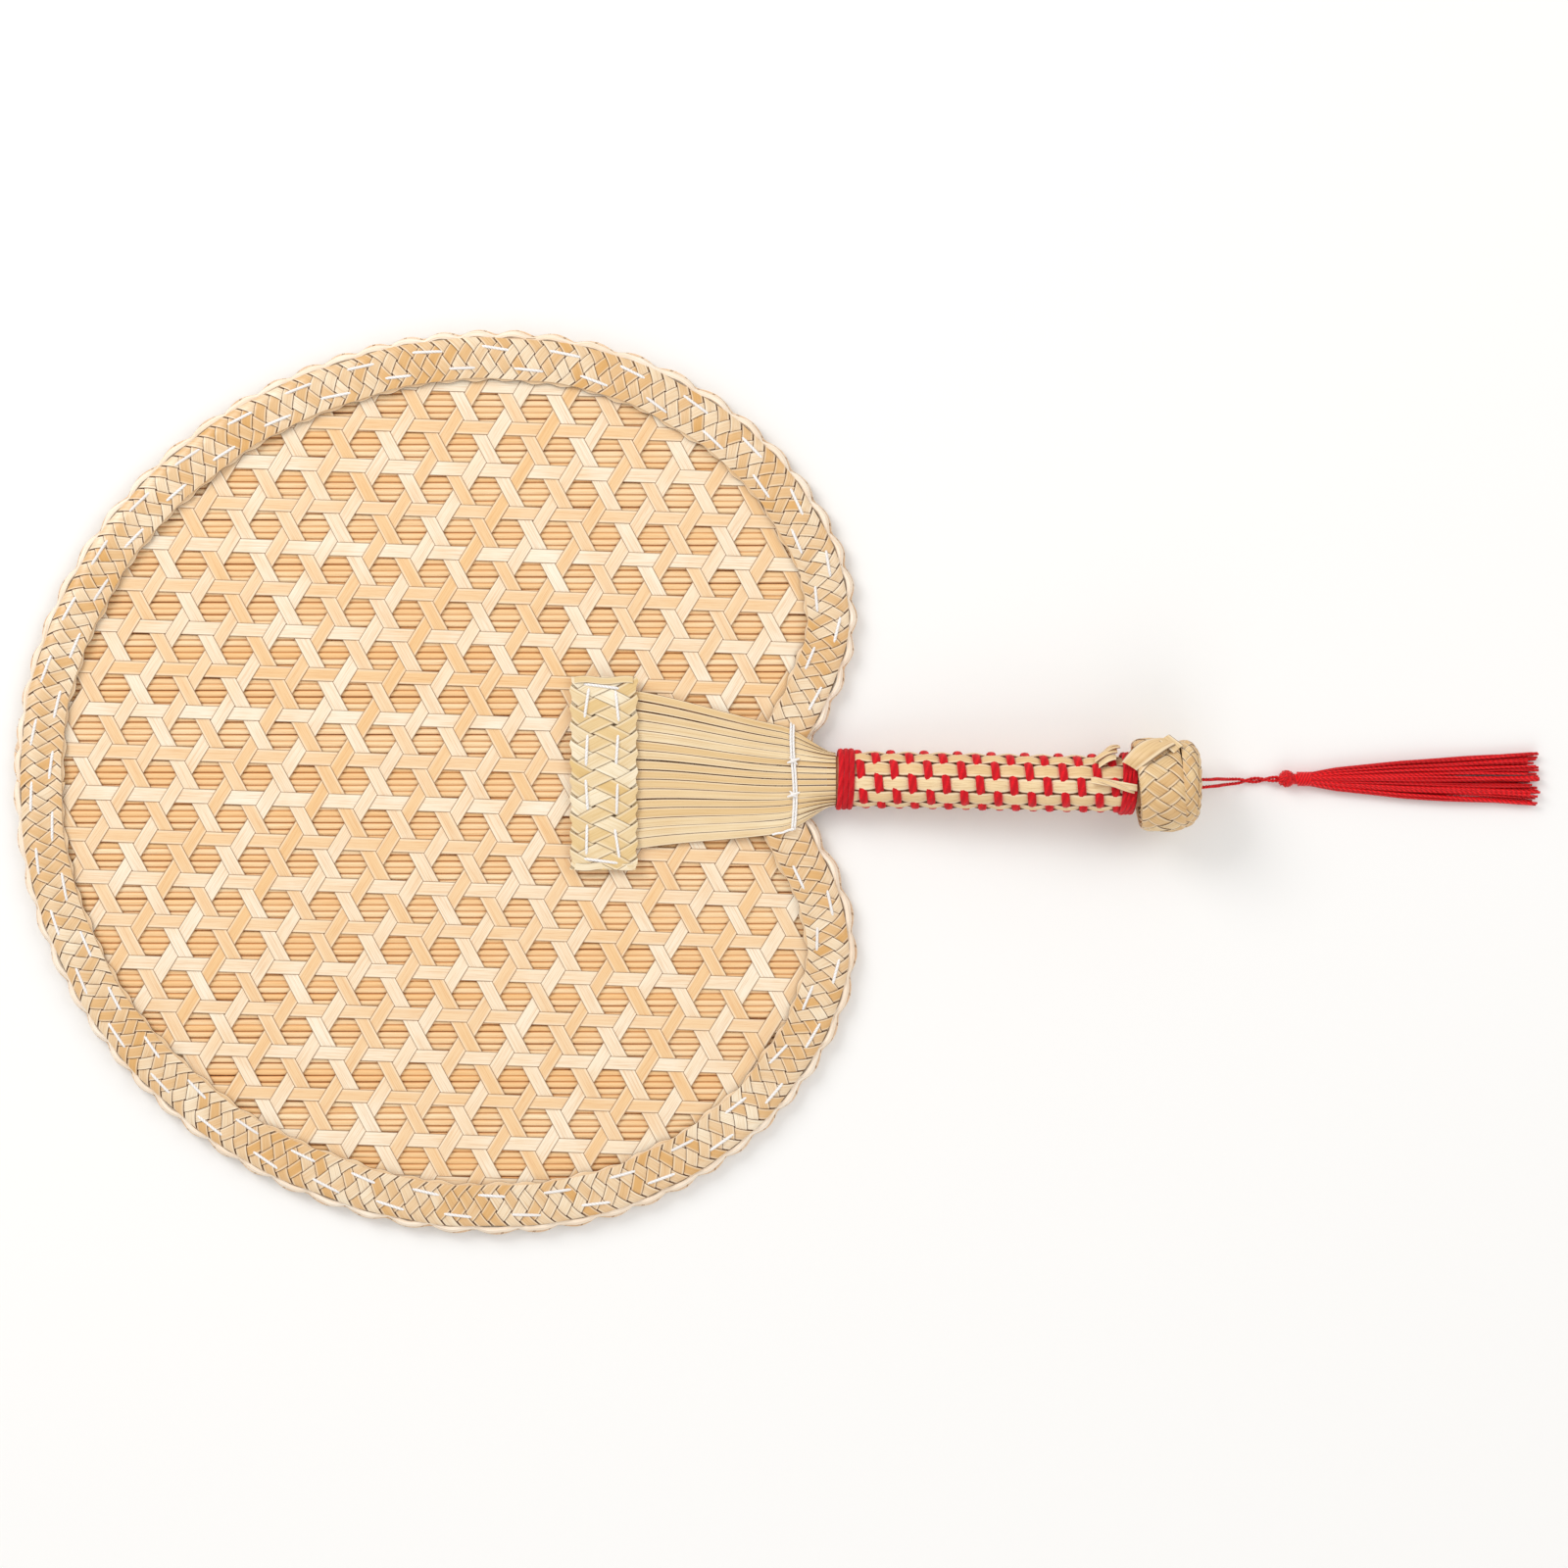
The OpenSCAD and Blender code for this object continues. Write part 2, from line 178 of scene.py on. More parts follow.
def tube(form, route, radius, up, sides=8, flat=1.0, tone=0.5):
    """Rolls a grid round a route, closes its seam and both ends. Radius may be one value per point."""
    layers = form.verts.layers.float
    ups = up if isinstance(up, list) else [Vector(up)] * len(route)
    radii = radius if isinstance(radius, list) else [radius] * len(route)
    run, rows = 0.0, []
    for i, (point, rise, r) in enumerate(zip(route, ups, radii)):
        ahead = (route[min(i + 1, len(route) - 1)] - route[max(i - 1, 0)]).normalized()
        run += (point - route[max(i - 1, 0)]).length
        side = ahead.cross(rise).normalized()
        rows.append((point, side, side.cross(ahead), r, run))
    rows = [(*rows[0][:3], 0.0, 0.0), *rows, (*rows[-1][:3], 0.0, run)]
    grid = bmesh.ops.create_grid(form, x_segments=len(rows) - 1, y_segments=sides, size=0.5)["verts"]
    for vert in grid:
        point, side, rise, r, run = rows[round((vert.co.x + 0.5) * (len(rows) - 1))]
        turn = (vert.co.y + 0.5) * 2 * math.pi
        vert[layers["along"]], vert[layers["tone"]] = run, tone
        vert[layers["across"]], vert[layers["round"]] = math.cos(turn), math.sin(turn)
        vert.co = point + r * (side * math.cos(turn) + rise * (flat * math.sin(turn)))
    bmesh.ops.remove_doubles(form, verts=grid, dist=1e-7)


def laid_thread(form, route, up, width, pitch, plies=2, tone=0.5, sides=6):
    """Twists plies round a finely divided route, so that the thread is about its width across."""
    run, radius = 0.0, width * 0.34
    turned = [[] for _ in range(plies)]
    outs = [[] for _ in range(plies)]
    for i, point in enumerate(route):
        run += (point - route[max(i - 1, 0)]).length
        ahead = (route[min(i + 1, len(route) - 1)] - route[max(i - 1, 0)]).normalized()
        side = ahead.cross(Vector(up)).normalized()
        for k in range(plies):
            turn = 2 * math.pi * (run / pitch + k / plies)
            out = side * math.cos(turn) + side.cross(ahead) * math.sin(turn)
            turned[k].append(point + out * (width * 0.26))
            outs[k].append(out)
    for k in range(plies):
        tube(form, turned[k], radius, outs[k], sides=sides, tone=tone + 0.1 * k)


def new_piece(name, form, material, body, slot, *nodes, sharp=40):
    """Makes the finished object: normals outward, smooth with sharp edges, riding on its body."""
    bmesh.ops.recalc_face_normals(form, faces=form.faces)
    mesh = bpy.data.meshes.new(name)
    form.to_mesh(mesh)
    form.free()
    mesh.polygons.foreach_set("use_smooth", [True] * len(mesh.polygons))
    mesh.set_sharp_from_angle(angle=math.radians(sharp))
    mesh.materials.append(material)
    piece = bpy.data.objects.new(name, mesh)
    bpy.context.scene.collection.objects.link(piece)
    if body:
        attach(piece, body)
    if nodes:
        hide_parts(*nodes)
    return piece


def sums(group, operation, one, other=0.0):
    """One sum inside a shader group."""
    return link(group, "ShaderNodeMath", {0: one, 1: other}, operation=operation).outputs[0]


def thread_group():
    """Shader group: the slanting valleys of a twisted thread and its fine hairs."""
    group = bpy.data.node_groups.new("thread_twist", "ShaderNodeTree")
    for name, value in (("Pitch", 0.0015), ("Plies", 2.0), ("Hairs", 900.0)):
        group.interface.new_socket(name, in_out="INPUT", socket_type="NodeSocketFloat").default_value = value
    for name in ("Valley", "Hair", "Tone", "Height"):
        group.interface.new_socket(name, in_out="OUTPUT", socket_type="NodeSocketFloat")
    given = group.nodes.new("NodeGroupInput").outputs
    read = {n: link(group, "ShaderNodeAttribute", attribute_name=n).outputs["Fac"]
            for n in ("along", "across", "round", "tone")}

    turn = sums(group, "ARCTAN2", read["round"], read["across"])
    lay = sums(group, "MULTIPLY", sums(group, "ADD", sums(group, "DIVIDE", read["along"], given["Pitch"]),
                                       sums(group, "MULTIPLY", read["tone"], 7.0)), 2 * math.pi)
    wave = sums(group, "SINE", sums(group, "ADD", sums(group, "MULTIPLY", turn, given["Plies"]), lay))
    valley = sums(group, "MULTIPLY_ADD", wave, -0.5)
    valley.node.inputs[2].default_value = 0.5
    where = link(group, "ShaderNodeTexCoord").outputs["Object"]
    hair = link(group, "ShaderNodeTexNoise", {"Vector": where, "Scale": given["Hairs"], "Detail": 2.0}).outputs[0]
    height = sums(group, "ADD", sums(group, "SUBTRACT", 1.0, valley), sums(group, "MULTIPLY", hair, 0.4))
    out = group.nodes.new("NodeGroupOutput").inputs
    for name, value in (("Valley", valley), ("Hair", hair), ("Tone", read["tone"]), ("Height", height)):
        group.links.new(value, out[name])
    return group


thread_twist = thread_group()


def thread_material(name, lit, dark_tone_and_shade, pitch, rough, sheen, depth, plies=2.0, hairs=900.0, hairy=0.5):
    """A twisted thread: its own colour on its crowns, with painted shade in the valleys of its twist, darker threads
    by tone, darker hairs and a soft sheen.
    """
    tree, shader, made = new_material(name)
    twist = link(tree, "ShaderNodeGroup", node_tree=thread_twist)
    for key, value in (("Pitch", pitch), ("Plies", plies), ("Hairs", hairs)):
        twist.inputs[key].default_value = value
    fuzz = link(tree, "ShaderNodeMapRange", {"Value": twist.outputs["Hair"], "From Min": 0.35, "From Max": 0.7,
                                             "To Min": 0.0, "To Max": hairy})
    dull = link(tree, "ShaderNodeMapRange", {"Value": twist.outputs["Tone"], "From Min": 0.45, "From Max": 0.0,
                                             "To Min": 0.0, "To Max": 0.7})
    crown = blended(tree, dull.outputs[0], dye(lit), dye(dark_tone_and_shade))
    # Painted shade: the valleys of the twist are mixed towards the dark colour.
    crown = blended(tree, twist.outputs["Valley"], crown, dye(dark_tone_and_shade))
    bump = link(tree, "ShaderNodeBump", {"Height": twist.outputs["Height"], "Distance": depth, "Strength": 0.8})
    tree.links.new(blended(tree, fuzz.outputs[0], crown, dye(dark_tone_and_shade)), shader.inputs["Base Color"])
    tree.links.new(bump.outputs["Normal"], shader.inputs["Normal"])
    shader.inputs["Roughness"].default_value = rough
    shader.inputs["Sheen Weight"].default_value = sheen
    shader.inputs["Specular IOR Level"].default_value = 0.25
    return made


red_silk = thread_material("red_silk", "FF161E", "B4060E", 1.6 * mm, 0.34, 0.05, 0.15 * mm, hairy=0.2)
for name, node, lay, first_up in (("cord_upper_strand", "cord_upper", 1, (0, 1, 0)),
                                  ("cord_lower_strand", "cord_lower", -1, (0, 1, 0))):
    path = []
    for x, z, half in smooth_route(cord_route, 0.3):
        turn = 2 * math.pi * min(max((x - 200.5) / 12, 0), 1)
        middle = -0.5 + 1.5 * min(max((x - 186.8) / 26, 0), 1)
        path.append(Vector((x, middle + lay * half * math.cos(turn), z + lay * half * math.sin(turn))) * mm)
    form = new_form()
    laid_thread(form, path, first_up, cord_d, ply_pitch)
    strand = new_piece(name, form, red_silk, None, "red_silk", node, sharp=80)
    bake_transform(strand, "fan", "cord_loop", start=(0.1852, knob_y, knob_z), end=(0.1892, knob_y, knob_z))


# Tassel: silk threads gathered below a knotted ball and bound round the neck.
# The ball is wound from the same cord; the binding is one thread in close turns; the skirt lies on the floor.

random.seed(11)
ball_r = 2.4 * mm
form = new_form()
for slant, shifts, over in ((1, (-1.9, -1.3, -0.7, -0.1, 0.5, 1.1, 1.7), 0.0), (-1, (-1.8, -1.2, -0.6, 0.0), 0.18),
                            (1, (0.9, 1.5, 2.0), 0.22)):
    axis = Vector((1, slant, 0.2)).normalized()
    across = axis.orthogonal().normalized()
    other = axis.cross(across)
    for shift in shifts:
        r = math.sqrt(ball_r ** 2 - (shift * mm) ** 2) + over * mm
        ring = [head + axis * (shift * mm) + r * (across * math.cos(t) + other * math.sin(t))
                for t in np.linspace(0.3, 2 * math.pi + 0.6, 34)]
        tube(form, ring, 0.34 * mm, axis, sides=6, tone=random.random())
core = bmesh.ops.create_icosphere(form, subdivisions=3, radius=ball_r)["verts"]
bmesh.ops.translate(form, vec=head, verts=core)
new_piece("tassel_ball", form, red_silk, "tassel_knot", "red_silk", "tassel_head", sharp=80)

neck_low, neck_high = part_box("tassel_binding")
neck_mid = (neck_low + neck_high) / 2
neck_r = (neck_high.z - neck_low.z) / 2
form = new_form()
turns, lay = 7, (neck_high.x - neck_low.x - 0.7 * mm) / 7
wound = []
for i in range(turns * 20 + 1):
    t = 2 * math.pi * i / 20
    wound.append(Vector((neck_low.x + 0.35 * mm + lay * i / 20, neck_mid.y + (neck_r - 0.35 * mm) * math.cos(t),
                         neck_mid.z + (neck_r - 0.35 * mm) * math.sin(t))))
tube(form, wound, 0.4 * mm, (1, 0, 0), sides=8)
stem = [head + Vector((1.2 * mm, 0, 0)), Vector((neck_low.x, neck_mid.y, neck_mid.z)),
        neck_mid + Vector((2.2 * mm, 0, 0))]
tube(form, stem, 1.7 * mm, (0, 0, 1), sides=16)
new_piece("tassel_neck_thread", form, red_silk, "tassel", "red_silk", "tassel_binding", sharp=80)

skirt_low, skirt_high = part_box("tassel_skirt")
skirt_l = skirt_high.x - skirt_low.x
skirt_y = (skirt_low.y + skirt_high.y) / 2
skirt_threads = 88
# How far down the skirt, its width and its height there.
skirt_shape = ((0, 3.4, 3.4), (4, 4.6, 4.6), (12, 8.0, 5.1), (34, 13.0, 4.6), (77, 19.2, 3.6))
form = new_form()
for i in range(skirt_threads):
    reach = math.sqrt((i + 0.5) / skirt_threads)
    spread, stack = reach * math.cos(i * 2.39996), reach * math.sin(i * 2.39996)
    bunch = 0.085 * math.sin(14 * spread)
    drift, phase = random.uniform(-1, 1), random.uniform(0, 6.28)
    end = skirt_l - random.uniform(0, 4.4) * mm
    thin = random.uniform(0.38, 0.48) * mm
    hang = []
    for step in range(19):
        x = end * step / 18
        width = np.interp(x / mm, [s[0] for s in skirt_shape], [s[1] for s in skirt_shape]) * mm
        height = np.interp(x / mm, [s[0] for s in skirt_shape], [s[2] for s in skirt_shape]) * mm
        loose = (x / skirt_l) ** 1.5
        y = skirt_y + (spread - bunch * loose) * (width / 2 - thin)
        y += 0.5 * mm * loose * math.sin(phase + x / (9 * mm)) * drift
        z = neck_mid.z * (1 - loose) + (height / 2) * loose + stack * (height / 2 - thin)
        z += 0.35 * mm * loose * math.sin(2 * phase + x / (7 * mm))
        hang.append(Vector((skirt_low.x + x, y, max(z, thin))))
    tube(form, hang, thin, (0, 0, 1), sides=5, tone=random.random())
new_piece("tassel_skirt_threads", form, red_silk, "tassel", "red_silk", "tassel_skirt", sharp=80)


# Blade core: one layer of round wheat straws side by side, which stiffens the blade.
# They are held only by the weave on both faces and by the rim sewn round them.

random.seed(5)
rim_front_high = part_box("rim_braid_front")[1]
rim_back_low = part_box("rim_braid_back")[0]


def blade_radius(turn):
    """How far the blade's edge is from its middle; a turn of 0 looks towards the handle."""
    a = (math.degrees(turn) + 180) % 360 - 180
    return (134.9 + 14.9 * math.exp(-((abs(a) - 50) / 45) ** 2) - 26.4 * math.exp(-(a / 16) ** 2)) * mm


blade_x = rim_back_low.x + blade_radius(math.pi) - 0.4 * mm
core_inset = 7 * mm


def spans(start, heading, inset):
    """Where a straight line through the blade runs inside its edge, as pairs of distances from start."""
    found, inside = [], False
    for i in range(-700, 701):
        x = start.x + heading.x * i * 0.25 * mm - blade_x
        y = start.y + heading.y * i * 0.25 * mm
        now = math.hypot(x, y) < blade_radius(math.atan2(y, x)) - inset
        if now and not inside:
            found.append([i * 0.25 * mm, 0])
        if now:
            found[-1][1] = i * 0.25 * mm
        inside = now
    return [pair for pair in found if pair[1] - pair[0] > 6 * mm]


def straw_group():
    """Shader group for dried straw: fine lengthwise fibres, painted shade and a painted highlight along the edges,
    blotches and a tone per straw.
    """
    group = bpy.data.node_groups.new("straw_fibres", "ShaderNodeTree")
    for name, value in (("Lines", 9.0), ("Run", 90.0), ("Blotches", 70.0)):
        group.interface.new_socket(name, in_out="INPUT", socket_type="NodeSocketFloat").default_value = value
    for name in ("Fibre", "EdgeShade", "EdgeHighlight", "Crown", "Blotch", "Tone", "Height"):
        group.interface.new_socket(name, in_out="OUTPUT", socket_type="NodeSocketFloat")
    given = group.nodes.new("NodeGroupInput").outputs
    read = {n: link(group, "ShaderNodeAttribute", attribute_name=n).outputs["Fac"]
            for n in ("along", "across", "round", "tone")}

    where = link(group, "ShaderNodeCombineXYZ", {
        "X": sums(group, "MULTIPLY", read["along"], given["Run"]),
        "Y": sums(group, "MULTIPLY", read["across"], given["Lines"]),
        "Z": sums(group, "ADD", sums(group, "MULTIPLY", read["tone"], 83.0),
                  sums(group, "MULTIPLY", read["round"], 3.0))}).outputs[0]
    fibre = link(group, "ShaderNodeTexNoise", {"Vector": where, "Scale": 1.0, "Detail": 3.0,
                                               "Roughness": 0.65}).outputs[0]
    place = link(group, "ShaderNodeTexCoord").outputs["Object"]
    blotch = link(group, "ShaderNodeTexNoise", {"Vector": place, "Scale": given["Blotches"],
                                                "Detail": 2.0}).outputs[0]
    # Painted shade: a band along each edge, where shadow falls in the gaps between straws; it also sinks the bump
    # there.
    edge = link(group, "ShaderNodeMapRange", {"Value": sums(group, "ABSOLUTE", read["across"]), "From Min": 0.86,
                                              "From Max": 0.97}, interpolation_type="SMOOTHSTEP").outputs[0]
    # Painted highlight: a lighter band just inside each edge.
    edge_highlight = link(group, "ShaderNodeMapRange", {"Value": sums(group, "ABSOLUTE", read["across"]), "From Min": 0.55,
                                             "From Max": 0.82}, interpolation_type="SMOOTHSTEP").outputs[0]
    out = group.nodes.new("NodeGroupOutput").inputs
    for name, value in (("Fibre", fibre), ("EdgeShade", edge), ("EdgeHighlight", edge_highlight),
                        ("Crown", sums(group, "ABSOLUTE", read["round"])),
                        ("Blotch", blotch), ("Tone", read["tone"]),
                        ("Height", sums(group, "ADD", fibre, sums(group, "MULTIPLY", edge, -0.5)))):
        group.links.new(value, out[name])
    return group


straw_fibres = straw_group()


def straw_material(name, pale, tan, streak, rim, rough=0.42, lines=9.0, run=90.0, depth=0.05, edge=0.6,
                   streaks=0.5, gap_shade_and_tint=None):
    """Dried straw between a pale and a tan tone, streaked along its fibres, with painted shade along its edges, where
    shadow falls between the straws, and a painted highlight just inside them.
    """
    tree, shader, made = new_material(name)
    straw = link(tree, "ShaderNodeGroup", node_tree=straw_fibres)
    straw.inputs["Lines"].default_value, straw.inputs["Run"].default_value = lines, run
    out = straw.outputs
    body = blended(tree, out["Tone"], dye(pale), dye(tan))
    spots = link(tree, "ShaderNodeMapRange", {"Value": out["Blotch"], "From Min": 0.35, "From Max": 0.75,
                                              "To Min": 0.0, "To Max": 0.45}).outputs[0]
    body = blended(tree, spots, body, dye(tan))
    lined = link(tree, "ShaderNodeMapRange", {"Value": out["Fibre"], "From Min": 0.46, "From Max": 0.68,
                                              "To Min": 0.0, "To Max": streaks}).outputs[0]
    body = blended(tree, lined, body, dye(streak))
    # Painted shade on the round core straws: their sides, where they turn down into the gaps between straws, are mixed
    # towards the gap colour. On the handle's warps the same mix tints them pink where they dip under the yarn.
    if gap_shade_and_tint:
        low = link(tree, "ShaderNodeMapRange", {"Value": out["Crown"], "From Min": 0.85, "From Max": 0.3,
                                                "To Min": 0.0, "To Max": 0.75}).outputs[0]
        body = blended(tree, low, body, dye(gap_shade_and_tint))
    # Painted highlight: the band inside each edge is mixed towards a pale cream.
    if edge:
        bright = link(tree, "ShaderNodeMath", {0: out["EdgeHighlight"], 1: 0.35}, operation="MULTIPLY").outputs[0]
        body = blended(tree, bright, body, dye("FFF4DC"))
    # Painted shade along the edges, mixed towards the rim colour by the edge weight.
    pressed = link(tree, "ShaderNodeMath", {0: out["EdgeShade"], 1: edge}, operation="MULTIPLY").outputs[0]
    body = blended(tree, pressed, body, dye(rim))
    bump = link(tree, "ShaderNodeBump", {"Height": out["Height"], "Distance": depth * mm, "Strength": 0.7})
    tree.links.new(body, shader.inputs["Base Color"])
    tree.links.new(bump.outputs["Normal"], shader.inputs["Normal"])
    shader.inputs["Roughness"].default_value = rough
    return made


# The core's gap colour is painted shade between its round straws.
core_straw = straw_material("core_straw", "F9E0B6", "F1C286", "DC994E", "C98A48", lines=5.0, run=60.0,
                            edge=0.0, gap_shade_and_tint="C2702A")
core_low, core_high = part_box("straw_core")
core_z = (core_low.z + core_high.z) / 2
form = new_form()
for k in range(-67, 68):
    y = k * 2.0 * mm
    for low, high in spans(Vector((blade_x, y, 0)), Vector((1, 0, 0)), core_inset):
        sway, lean, thick = random.uniform(0, 6.28), random.uniform(-0.12, 0.12), random.uniform(1.02, 1.12)
        straw = [Vector((blade_x + low + (high - low) * i / 10,
                         y + (0.1 * math.sin(sway + i * 0.7) + lean * (i / 5 - 1)) * mm,
                         core_z + 0.04 * mm * math.sin(2 * sway + i))) for i in range(11)]
        tube(form, straw, thick * mm, (0, 0, 1), sides=12, flat=0.76, tone=random.random())
new_piece("core_straws", form, core_straw, "fan", "core_straw", "straw_core")


# Weave: flat straw strips in three directions, each over the next one and under the third, on both faces.
# The crossings lock each other, which leaves six-sided windows onto the round straws.

random.seed(7)
strip_w, strip_t, strip_pitch = 4.5 * mm, 0.2 * mm, 13.3 * mm
weave_inset = 3.5 * mm
weave_lift = 0.14 * mm
# Each direction's turn, its offset from the blade's middle, and the ones that it lies over and under.
directions = {"lengthwise": (-2, 6.15, "falling", "rising"), "rising": (58, 3.7, "lengthwise", "falling"),
              "falling": (-62, -4.2, "rising", "lengthwise")}


def off_strip(name, x, y):
    """Distance from a point to the middle of the nearest strip in one direction."""
    turn = math.radians(directions[name][0])
    off = (y * math.cos(turn) - (x - blade_x) * math.sin(turn) - directions[name][1] * mm) / strip_pitch
    return abs(off - round(off)) * strip_pitch


def pressed(distance):
    """1 where two strips lie on each other, easing to 0 beside the crossing."""
    t = min(max((3.1 * mm - distance) / (1.2 * mm), 0), 1)
    return t * t * (3 - 2 * t)


def woven_z(over, under, x, y):
    """How far a strip stands up at a place, from the strips that it crosses over and under there."""
    return weave_lift * (pressed(off_strip(over, x, y)) - pressed(off_strip(under, x, y)))


def strip(form, rows, columns, tone, place):
    """A flat straw from a grid; place puts each point by its share of the length and its side from -1 to 1.

    place gives the point, how far along the straw it lies and, where it gives a third value, how little the straw is
    tinted there."""
    layers = form.verts.layers.float
    for vert in bmesh.ops.create_grid(form, x_segments=rows, y_segments=columns, size=0.5)["verts"]:
        share, side = vert.co.x + 0.5, 2 * vert.co.y
        vert.co, vert[layers["along"]], *blush = place(share, side)
        vert[layers["round"]] = blush[0] if blush else 0.0
        vert[layers["across"]], vert[layers["tone"]] = side, tone


woven_straw = straw_material("woven_straw", "F9EDD6", "EFC38A", "DCA064", "7E4A1C", rough=0.32, streaks=0.5, edge=0.8)
for face, middle, flip in (("front", core_high.z + 0.5 * mm, 1), ("back", core_low.z - 0.5 * mm, -1)):
    for name, (turn, offset, over, under) in directions.items():
        heading = Vector((math.cos(math.radians(turn)), math.sin(math.radians(turn)), 0))
        left = Vector((-heading.y, heading.x, 0))
        form = new_form()
        for k in range(-11, 12):
            start = Vector((blade_x, 0, 0)) + left * (offset * mm + k * strip_pitch)
            width = strip_w * random.uniform(0.93, 1.03) / 2
            tone = random.uniform(0.0, 0.3) if (k % 2) else random.uniform(0.55, 0.95)
            for low, high in spans(start, heading, weave_inset):
                def place(share, side):
                    run = low + (high - low) * share
                    point = start + heading * run + left * (width * side)
                    crown = 0.05 * mm * (1 - side * side)
                    lift = woven_z(over, under, point.x, point.y) + crown
                    return (point.x, point.y, middle + flip * lift), run
                strip(form, max(8, round((high - low) / (0.85 * mm))), 3, tone, place)
        bmesh.ops.solidify(form, geom=form.faces, thickness=flip * strip_t)
        new_piece(f"{face}_{name}_strips", form, woven_straw, "fan",
                  "pale_strip" if name == "lengthwise" else "tan_strip", f"weave_{face}_{name}")


# Rim: a flat braid of split straws along each face of the edge, plaited over one and under one.
# Both braids are folded in at the outer edge and sewn through; the back one stands out in small waves.

random.seed(9)
rim_w, rim_pitch, rim_lift, rim_t = 13.2 * mm, 5.07 * mm, 0.32 * mm, 0.22 * mm

# The edge, followed clockwise: how far along it each turn lies.
edge_turns = np.radians(np.linspace(180, -180, 1441))
edge_points = np.array([(blade_x + blade_radius(a) * math.cos(a), blade_radius(a) * math.sin(a)) for a in edge_turns])
edge_runs = np.concatenate([[0], np.cumsum(np.hypot(*np.diff(edge_points, axis=0).T))])
edge_length = float(edge_runs[-1])


def edge_frame(run):
    """A point on the blade's edge, and the ways along it and inward."""
    run = run % edge_length
    x, y = (float(np.interp(run, edge_runs, edge_points[:, i])) for i in (0, 1))
    ahead = [float(np.interp(run + 0.5 * mm, edge_runs, edge_points[:, i])
                   - np.interp(run - 0.5 * mm, edge_runs, edge_points[:, i])) for i in (0, 1)]
    size = math.hypot(*ahead)
    return x, y, ahead[0] / size, ahead[1] / size


def braid(form, length, width, pitch, lift, thick, place, strands=4, wander=0.0):
    """Plaits flat straws over one and under one. place puts a point by its run, its share of the width and height.

    Each straw runs straight from one fold to the other, so every fold to fold stretch is one strip."""
    layers = form.verts.layers.float
    count = round(length / pitch)
    step = length / count
    lean = strands * step / 2
    tones = [random.choice((0.05, 0.3, 0.75, 1.0)) for _ in range(strands * 3 + 1)]
    for m in range(count):
        for back in (0, 1):
            tone = 0.7 * tones[(m * (1 + back)) % len(tones)] + 0.3 * random.random()
            half = step * random.uniform(0.45, 0.485)
            stray = random.uniform(-wander, wander)
            skew = (-1 if back else 1) * half / step
            grid = bmesh.ops.create_grid(form, x_segments=5 * strands, y_segments=3, size=0.5)["verts"]
            for vert in grid:
                share, side = vert.co.x + 0.5, 2 * vert.co.y
                travel = (1 - share) if back else share
                run = m * step + ((strands + 1) / 2 * step if back else 0) + travel * lean + side * half
                crossing = min(max(strands * share + 0.5 + side * skew, 1), strands)
                wave = math.cos(math.pi * crossing) * (1 if back else -1)
                wave *= 0.45 + 0.55 * min(share / 0.09, (1 - share) / 0.09, 1)
                height = lift * wave * (1.4 - 0.4 * wave * wave) + thick * (0.5 + 0.4 * (1 - side * side))
                vert[layers["across"]], vert[layers["tone"]] = side, tone
                vert[layers["along"]] = travel * width * 1.4
                share -= 0.04 * math.sin(2 * math.pi * share)
                vert.co = place(run + stray * math.sin(math.pi * share), share, height)


def closed_in(share):
    """How much a braid bends towards the other face at its outer edge."""
    t = min(max(1 - share / 0.28, 0), 1)
    return t * t * 1.1 * mm


rim_straw = straw_material("rim_straw", "F6E7CC", "DCAA68", "CB9654", "5E3008", rough=0.33, lines=7.0,
                           streaks=0.5, edge=1.0)
# The back braid's straw is paler than the front's: partly its own colour, and partly painted light that offsets the
# shadow of the front braid.
back_rim_straw = straw_material("back_rim_straw", "FFF4E4", "F6D8B4", "EBC090", "A8723A", rough=0.5, lines=8.0,
                                streaks=0.6, edge=0.75, depth=0.12)
rim_front_z = rim_front_high.z - 0.62 * mm
rim_back_z = rim_back_low.z + 1.2 * mm


def rim_wave(run):
    """The waves of the back braid's outer edge, from 0 to 1."""
    return abs(math.sin(math.pi * run / (12.4 * mm) + math.sin(run / (31 * mm))))


def on_front_rim(run, share, height):
    """A point on the front braid, from its way along the edge, its share of the width and its height."""
    x, y, tx, ty = edge_frame(run)
    inward = 2.0 * mm + share * rim_w * 0.97 + 0.35 * mm * math.sin(run / (6.1 * mm)) * math.sin(run / (17 * mm))
    return x + ty * inward, y - tx * inward, rim_front_z + height - closed_in(share)


def on_back_rim(run, share, height):
    """The same on the back braid, whose outer edge stands out in waves."""
    x, y, tx, ty = edge_frame(run)
    wave = 1.7 * mm * rim_wave(run) * (1 - share) ** 2
    inward = 0.7 * mm + share * rim_w - wave
    return x + ty * inward, y - tx * inward, rim_back_z - height + closed_in(share)


form = new_form()
braid(form, edge_length, rim_w, rim_pitch, rim_lift, rim_t, on_front_rim)


def inner_lip(share, side):
    """The folded inner edge, which shows below the braid as one narrow bright line."""
    run = edge_length * share
    ripple = 0.03 * math.sin(run / (1.61 * mm)) + 0.02 * math.sin(run / (4.3 * mm))
    return on_front_rim(run, 1.0 + 0.05 * side + ripple, -0.35 * mm - 0.25 * mm * side), run


strip(form, 900, 2, 0.5, inner_lip)
bmesh.ops.solidify(form, geom=form.faces, thickness=-rim_t)
new_piece("rim_braid_front_straws", form, rim_straw, "fan", "rim_straw", "rim_braid_front")
form = new_form()
braid(form, edge_length, rim_w, rim_pitch, rim_lift, rim_t, on_back_rim)
bmesh.ops.solidify(form, geom=form.faces, thickness=rim_t)
